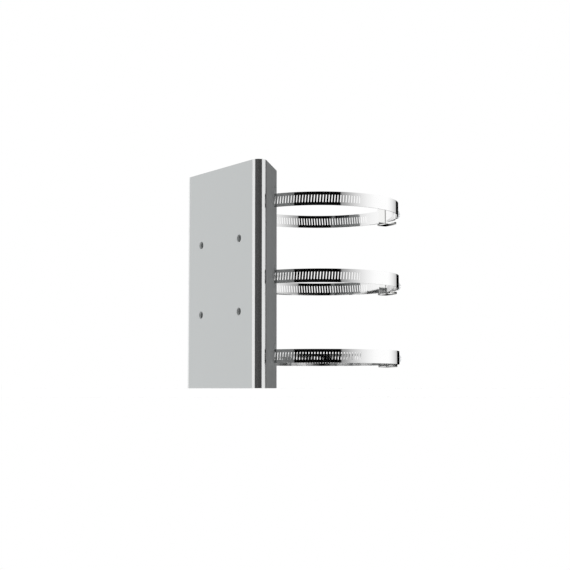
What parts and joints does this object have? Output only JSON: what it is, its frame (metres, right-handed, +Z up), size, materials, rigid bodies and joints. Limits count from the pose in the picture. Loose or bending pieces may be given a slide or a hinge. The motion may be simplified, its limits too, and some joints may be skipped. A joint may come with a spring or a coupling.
{
  "type": "camera pole mount bracket",
  "caption": "Folded stainless channel that carries a camera on its flat front face and clamps to a pole with perforated worm drive straps.",
  "frame": {"origin": "centre of the flat front face, on its surface, half-way between the four bolt holes", "axes": "+X to the right as seen from the front, +Y backwards through the straps to the pole, +Z up along the pole"},
  "size_m": [0.1489, 0.1936, 0.194],
  "materials": {
    "satin_sheet": "satin stainless sheet with a fine vertical grain",
    "bright_strip": "bright rolled stainless strip",
    "pressed_sheet": "pressed stainless sheet",
    "screw_steel": "plated steel screw"
  },
  "bodies": {
    "bracket": {"mounting_channel": "satin_sheet", "bottom_strap": "bright_strip", "bottom_saddle": "pressed_sheet", "bottom_worm_housing": "pressed_sheet", "middle_strap": "bright_strip", "middle_saddle": "pressed_sheet", "middle_worm_housing": "pressed_sheet", "top_strap": "bright_strip", "top_saddle": "pressed_sheet", "top_worm_housing": "pressed_sheet"},
    "bottom_screw": {"bottom_worm_screw": "screw_steel"},
    "middle_screw": {"middle_worm_screw": "screw_steel"},
    "top_screw": {"top_worm_screw": "screw_steel"}
  },
  "joints": [
    {"name": "bottom_screw_turn", "type": "hinge", "parent": "bracket", "child": "bottom_screw", "pos_m": [0.00553, 0.18784, -0.069], "axis": [0.9976, -0.0698, 0], "continuous": true},
    {"name": "middle_screw_turn", "type": "hinge", "parent": "bracket", "child": "middle_screw", "pos_m": [0.00553, 0.18784, 0], "axis": [0.9976, -0.0698, 0], "continuous": true},
    {"name": "top_screw_turn", "type": "hinge", "parent": "bracket", "child": "top_screw", "pos_m": [0.00553, 0.18784, 0.069], "axis": [0.9976, -0.0698, 0], "continuous": true}
  ]
}
